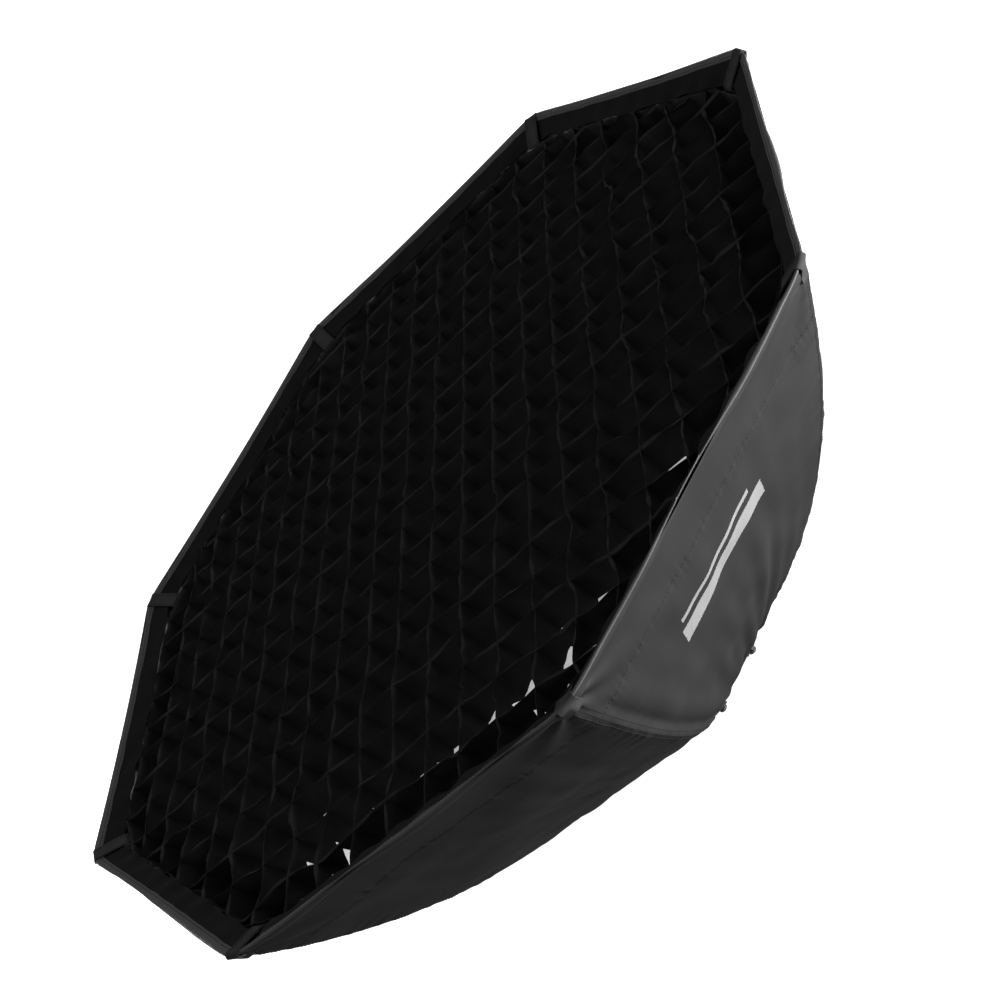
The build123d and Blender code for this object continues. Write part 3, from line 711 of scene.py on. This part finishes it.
def strap_path(count):
    """Radius and height of the strap: along the lip, over the tip and down the outside of the ridge."""

    def on_lip(radius, lift):
        return (radius, MOUTH_Z - (CORNER_RADIUS - radius) * RIDGE_SLOPE + lift)

    return smooth_path([
        on_lip(0.4400, 0.0002), on_lip(0.4425, 0.0018), on_lip(0.452, 0.0021), on_lip(0.463, 0.0021),
        (0.4700, MOUTH_Z + 0.0004), (0.4725, MOUTH_Z - 0.0016), (0.4712, MOUTH_Z - 0.0050),
        (0.4694, MOUTH_Z - 0.0088), (0.4672, MOUTH_Z - 0.0130),
    ], count)


def corner_strap(number):
    """Webbing over one corner of the mouth, bent to the lip and to the shell's ridge."""
    count = 60
    path = strap_path(count)
    tangent = unit(np.gradient(path, axis=0))
    normal = np.stack([-tangent[:, 1], tangent[:, 0]], -1)
    normal = normal * np.sign(normal[5, 1])
    step = np.arange(count)[:, None]
    inside, outside = np.clip((34 - step) / 10, 0, 1), np.clip((step - 38) / 12, 0, 1)
    width = np.linspace(-STRAP_HALF, STRAP_HALF, 15)[None, :]
    bend = np.sqrt(width**2 + 0.001**2) - 0.001
    angle = rod_angle(number)
    out = np.array([math.cos(angle), math.sin(angle), 0])
    beside = np.array([-math.sin(angle), math.cos(angle), 0])

    def layer(height):
        flat = path[:, None, :] + normal[:, None, :] * height
        radius = (flat[..., 0] - bend * TAN * outside)[..., None]
        z = (flat[..., 1] + bend * SIN * RIDGE_SLOPE * inside)[..., None]
        return radius * out + (width + 0 * radius[..., 0])[..., None] * beside + z * UP

    top, low = layer(0.0009), layer(-0.0003)
    mesh = Mesh()
    mesh.grid(top, None, 0, flip=True)
    mesh.grid(low, None, 0)
    edges = [(top[:, 0], low[:, 0], True), (top[:, -1], low[:, -1], False),
             (top[0], low[0], False), (top[-1], low[-1], True)]
    for edge_top, edge_low, flip in edges:
        mesh.grid(np.stack([edge_low, edge_top], axis=1), None, 0, flip=flip)
    up = np.tile(UP, (count, 1))
    for column in (2, 12):
        thread(mesh, top[3:30, column], up[3:30], 1)
    thread(mesh, top[4, 2:13], up[:11], 1)
    return mesh.build(f"strap_{number}", [WEBBING, THREAD])


def straps():
    for number in range(1, SIDES + 1):
        piece = corner_strap(number)
        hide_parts(f"corner_strap_{number}")
        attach(piece, f"arm_{number}")


# ---------------------------------------------------------------- what lies in the mouth
def outline_radius(angle, apothem, corner_limit):
    """Distance from the axis to the edge of a cut-cornered octagon."""
    angle = np.asarray(angle, float)
    to_side = (angle + HALF) % STEP - HALF
    to_corner = angle % STEP - HALF
    radius = apothem / np.cos(to_side)
    return np.minimum(radius, corner_limit / np.cos(to_corner)) if corner_limit else radius


def gather(piece, sector, body):
    """A sector rides on its body, on a mesh of its own."""
    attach(piece, body)
    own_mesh(piece)


def sector_sheet(name, sector, apothem, corner_limit, z, thick, finish, band=None, ripple=0.0):
    """A wedge of a flat octagonal sheet, or of a band round its edge, as a thin closed piece."""
    angles = np.linspace(HALF * sector, HALF * (sector + 1), 22)[None, :]
    edge = outline_radius(angles, apothem, corner_limit)
    inner = edge - band / np.cos((angles + HALF) % STEP - HALF) if band else edge * 0.0005
    radius = inner + (edge - inner) * np.linspace(0, 1, 8 if band else 60)[:, None]
    x, y = radius * np.cos(angles), radius * np.sin(angles)
    fade = np.clip((edge - radius) / 0.05, 0.15, 1)
    height = z + ripple * sheet_ripple(x, y) * fade
    top = np.stack([x, y, height + thick], -1)
    low = np.stack([x, y, height], -1)
    mesh = Mesh()
    mesh.grid(top, None, 0, flip=True)
    mesh.grid(low, None, 0)
    mesh.grid(np.stack([low[-1], top[-1]], axis=1), None, 0)
    area = float((0.5 * np.diff(angles[0]) * (edge[0, 1:] ** 2 - inner[0, 1:] ** 2)).sum())
    return mesh.build(f"{name}_{sector + 1}", [finish]), area


def lay(piece, sector, node, body):
    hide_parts(node)
    gather(piece, sector, body)


def white_sheets():
    """The front diffuser with its border tape, and the inner baffle with its hem."""
    sheet_z, tape_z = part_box("front_diffuser")[0].z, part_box("diffuser_border")[0].z
    baffle_z, hem_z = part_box("inner_baffle")[0].z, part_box("baffle_hem")[0].z
    baffle_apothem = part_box("inner_baffle")[1].x
    for sector in range(2 * SIDES):
        sheet, area = sector_sheet("diffuser", sector, SHEET_APOTHEM, CORNER_CLEAR, sheet_z, CLOTH,
                                   DIFFUSION, ripple=0.0003)
        lay(sheet, sector, "front_diffuser", "diffuser")
        tape, _ = sector_sheet("diffuser_border", sector, SHEET_APOTHEM, CORNER_CLEAR, tape_z,
                               SHEET_TAPE_THICK, PILE, band=BORDER_WIDTH)
        lay(tape, sector, "diffuser_border", "diffuser")

        sheet, area = sector_sheet("baffle", sector, baffle_apothem, None, baffle_z, CLOTH,
                                   BAFFLE, ripple=0.0007)
        lay(sheet, sector, "inner_baffle", "baffle")
        tape, _ = sector_sheet("baffle_hem", sector, baffle_apothem, None, hem_z,
                               BAFFLE_HEM_THICK, WHITE_HEM, band=BAFFLE_HEM_WIDTH)
        lay(tape, sector, "baffle_hem", "baffle")


def baffle_straps():
    """Short elastics from the baffle's corners to the rods."""
    low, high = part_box("baffle_straps")
    x = np.linspace(BAFFLE_STRAP_START, BAFFLE_STRAP_END, 12)[:, None]
    y = np.linspace(-BAFFLE_STRAP_HALF, BAFFLE_STRAP_HALF, 5)[None, :]
    for number in range(1, SIDES + 1):
        angle = rod_angle(number)
        mesh = Mesh()
        for z, flip in ((low.z, True), (high.z, False)):
            mesh.grid(np.stack([x + 0 * y, y + 0 * x, z + 0 * x + 0 * y], -1), None, 0, flip=flip)
        piece = mesh.build(f"baffle_strap_{number}", [ELASTIC])
        piece.data.transform(Matrix.Rotation(angle, 4, "Z"))
        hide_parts("baffle_straps")
        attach(piece, "baffle")
        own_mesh(piece)


# ---------------------------------------------------------------- the grid
GRID_LOW, GRID_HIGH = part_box("grid_border")[0].z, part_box("grid_border")[1].z
GRID_DEPTH = GRID_HIGH - GRID_LOW
GRID_CLOTH = 0.0007


def grid_shift(x, y, up):
    """How far the soft grid strays sideways: more at its upper edge and away from its middle."""
    out = np.clip(np.hypot(x, y) / 0.40, 0, 1)
    edge = np.clip((GRID_APOTHEM - np.maximum(np.abs(x), np.abs(y))) / 0.03, 0, 1)
    size = (0.0007 + 0.0016 * out**2) * (0.35 + 0.65 * up) * edge
    dx = size * (grid_lean_x(x, y) + 0.6 * grid_fine_x(x, y + 0.4 * up))
    dy = size * (grid_lean_y(x, y) + 0.6 * grid_fine_y(x, y + 0.4 * up))
    return dx, dy


def grid_reach(offset):
    sides = min(GRID_APOTHEM, GRID_APOTHEM * (1 + TAN) - offset)
    return min(sides, CORNER_CLEAR / COS - offset * TAN) - 0.0012


def loose_share(x, y):
    """How far the strips have slipped: in the outer two rows beside one side."""
    outward, sideways = side_axes(LOOSE_SIDE)
    out = x * outward[0] + y * outward[1]
    along = x * sideways[0] + y * sideways[1]
    return np.clip((out - 0.320) / 0.035, 0, 1) * np.clip((0.19 - np.abs(along)) / 0.02, 0, 1)


def strip_points(offset, run, cross, seed):
    """Cross-sections along one strip, which bulges a little to one side in each cell."""
    rng = np.random.default_rng(seed)
    cells = 2 * GRID_STRIPS
    bulge = rng.normal(0, 1.0, cells)
    slack = np.clip(rng.uniform(-0.8, 1.6, cells), 0, 1)
    cell = np.clip(((run / GRID_PITCH) + cells / 2).astype(int), 0, cells - 1)
    phase = (run / GRID_PITCH + 0.5) % 1.0
    belly = bulge[cell] * np.sin(math.pi * phase) ** 2
    up = np.array([0.0, 0.35, 0.7, 0.96, 1.0, 1.0, 0.96, 0.7, 0.35, 0.0])[None, :]
    face = np.array([1, 1, 1, 1, 0.45, -0.45, -1, -1, -1, -1])[None, :]
    x, y = (run, 0 * run + offset) if not cross else (0 * run + offset, run)
    x, y = x[:, None] + 0 * up, y[:, None] + 0 * up
    dx, dy = grid_shift(x, y, up)
    lift = 0.0009 * grid_fine_x(x * 0.7 + 9, y * 0.7) * up
    slip = loose_share(x, y) * np.abs(slack[cell] * np.sin(math.pi * phase) ** 1.5)[:, None]
    low = GRID_LOW - STRIP_DROP + STRIP_SLIP * slip
    z = low + (GRID_HIGH - low) * up + np.minimum(lift, 0.0004)
    side = face * GRID_CLOTH / 2 + 0.0009 * belly[:, None] * (0.3 + 0.7 * up)
    spread = 1 + GRID_SPREAD / GRID_APOTHEM * up * np.clip(np.hypot(x, y) / 0.40, 0, 1) ** 4
    if cross:
        return np.stack([(x + dx + side) * spread, (y + dy) * spread, z], -1)
    return np.stack([(x + dx) * spread, (y + dy + side) * spread, z], -1)


def sector_cuts(offset, reach, cross):
    """Where a strip passes from one sector to the next."""
    cuts = {-reach, reach, 0.0}
    for k in range(1, SIDES):
        slope = math.tan(HALF * k) if k != SIDES // 2 else math.inf
        run = offset * slope if cross else offset / slope
        if abs(run) < reach - 1e-4:
            cuts.add(run)
    return sorted(cuts)


def lay_strips(sectors):
    """Both sets of crossing strips, cut at the sectors' borders, each length in its sector's mesh."""
    for cross in (False, True):
        for number in range(GRID_STRIPS):
            offset = GRID_PITCH * (number - (GRID_STRIPS - 1) / 2)
            cuts = sector_cuts(offset, grid_reach(abs(offset)), cross)
            for low, high in zip(cuts[:-1], cuts[1:]):
                if high - low < 1e-5:
                    continue
                run = np.linspace(low, high, max(3, int((high - low) / 0.0045) + 2))
                middle = (low + high) / 2
                x, y = (offset, middle) if cross else (middle, offset)
                mesh = sectors[int((math.atan2(y, x) % (2 * math.pi)) / HALF) % len(sectors)]
                points = strip_points(offset, run, cross, 1000 * cross + number)
                mesh.grid(points[:, :4], None, 0, flip=not cross)
                # The strips' top edges take the darker copy of the grid cloth: painted shade
                mesh.grid(points[:, 3:7], None, 1, flip=not cross)
                mesh.grid(points[:, 6:], None, 0, flip=not cross)


def border_band(sector):
    """The band round the grid, along one sector."""
    angle = np.linspace(HALF * sector, HALF * (sector + 1), 46)[:, None]
    radius = outline_radius(angle, GRID_APOTHEM, CORNER_CLEAR)
    wave = np.abs(0.0016 * lip_ripple(angle * 0.43, 5.0))
    up = np.array([0.0, 0.4, 0.8, 1.0, 1.0, 0.8, 0.4, 0.0])[None, :]
    depth = np.array([0, 0, 0, 0.2, 0.8, 1, 1, 1])[None, :] * GRID_CLOTH
    r = radius - depth + (GRID_SPREAD - wave) * up
    z = GRID_LOW + GRID_DEPTH * up + 0 * r
    return np.stack([r * np.cos(angle), r * np.sin(angle), z], -1)


def grid():
    sectors = [Mesh() for _ in range(2 * SIDES)]
    lay_strips(sectors)
    for sector, mesh in enumerate(sectors):
        mesh.grid(border_band(sector), None, 0, flip=False)
        piece = mesh.build(f"grid_sector_{sector + 1}", [GRID, GRID_EDGE_SHADED])
        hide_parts("grid_border", "grid_strips_long", "grid_strips_cross")
        gather(piece, sector, "grid")


# ---------------------------------------------------------------- camera, floor and light
def direction(azimuth, elevation):
    azimuth, elevation = math.radians(azimuth), math.radians(elevation)
    return Vector((
        math.cos(elevation) * math.cos(azimuth),
        math.cos(elevation) * math.sin(azimuth),
        math.sin(elevation),
    ))


def camera():
    """Looks down into the mouth from one side, rolled well over."""
    data = bpy.data.cameras.new("camera")
    data.lens, data.sensor_width = LENS, SENSOR
    seen = bpy.data.objects.new("camera", data)
    bpy.context.scene.collection.objects.link(seen)
    seen.location = Vector((0, 0, MOUTH_Z)) + CAMERA_DISTANCE * direction(*CAMERA_PLACE)
    back, roll = direction(*CAMERA_BACK), math.radians(CAMERA_ROLL)
    level_right = Vector((0, 0, 1)).cross(back).normalized()
    level_up = back.cross(level_right)
    up = level_up * math.cos(roll) + level_right * math.sin(roll)
    right = up.cross(back)
    seen.rotation_mode = "QUATERNION"
    seen.rotation_quaternion = Matrix((right, up, back)).transposed().to_quaternion()
    bpy.context.scene.camera = seen


def area_light(name, place, target, size, power):
    """A round soft light that the camera doesn't see."""
    data = bpy.data.lights.new(name, "AREA")
    data.shape, data.size, data.energy = "DISK", size, power
    lamp = bpy.data.objects.new(name, data)
    lamp.location = place
    lamp.rotation_mode = "QUATERNION"
    lamp.rotation_quaternion = (Vector(target) - Vector(place)).to_track_quat("-Z", "Y")
    lamp.visible_camera = False
    bpy.context.scene.collection.objects.link(lamp)


def glowing(name, strength, reflect):
    made = bpy.data.materials.new(name)
    made.use_nodes = True
    shader = made.node_tree.nodes["Principled BSDF"]
    shader.inputs["Base Color"].default_value = (reflect, reflect, reflect, 1)
    shader.inputs["Roughness"].default_value = 0.9
    shader.inputs["Specular IOR Level"].default_value = 0.1
    shader.inputs["Emission Color"].default_value = (1, 1, 1, 1)
    shader.inputs["Emission Strength"].default_value = strength
    return made


def surroundings():
    """A lit white floor running into a white backdrop, which the light itself doesn't see."""
    bpy.ops.mesh.primitive_circle_add(vertices=96, radius=30, fill_type="NGON", location=(0, 0, -0.0005))
    floor = bpy.context.object
    floor.name = "floor"
    floor.data.materials.append(glowing("pale_floor", FLOOR_GLOW, 0.6))
    bpy.ops.mesh.primitive_uv_sphere_add(segments=48, ring_count=24, radius=29.9, location=(0, 0, 0))
    backdrop = bpy.context.object
    backdrop.name = "backdrop"
    backdrop.data.materials.append(glowing("white_backdrop", BACKDROP_GLOW, 0.0))
    for seen_only in (floor, backdrop):
        seen_only.visible_diffuse = seen_only.visible_glossy = False
        seen_only.visible_transmission = seen_only.visible_shadow = False


def sky():
    """Dim light all round, dimmer from below."""
    world = bpy.data.worlds.new("studio")
    world.use_nodes = True
    nodes, links = world.node_tree.nodes, world.node_tree.links
    split, share = nodes.new("ShaderNodeSeparateXYZ"), nodes.new("ShaderNodeMapRange")
    links.new(nodes.new("ShaderNodeTexCoord").outputs["Generated"], split.inputs["Vector"])
    links.new(split.outputs["Z"], share.inputs["Value"])
    for socket, value in (("From Min", -0.5), ("From Max", 0.2), ("To Min", SKY_BELOW), ("To Max", SKY)):
        share.inputs[socket].default_value = value
    nodes["Background"].inputs["Color"].default_value = (1, 1, 1, 1)
    links.new(share.outputs["Result"], nodes["Background"].inputs["Strength"])
    bpy.context.scene.world = world


def studio():
    surroundings()
    sky()
    bpy.context.scene.view_settings.view_transform = "Standard"
    area_light("side_softbox", (1.48, -0.42, 0.10), (0.30, -0.28, 0.20), 0.8, SIDE_POWER)
    area_light("overhead", (-0.9, 0.6, 2.4), (0, 0, 0.35), 1.2, OVERHEAD_POWER)
    area_light("rear_fill_left", (-1.5, 0.3, -0.1), (0, 0, 0.15), 1.0, REAR_FILL)
    area_light("rear_fill_right", (0.5, 1.6, -0.1), (0, 0, 0.15), 1.0, REAR_FILL)


camera()
studio()
finish_cad()
button_springs()
shell()
mouth()
cuff()
straps()
white_sheets()
baffle_straps()
grid()
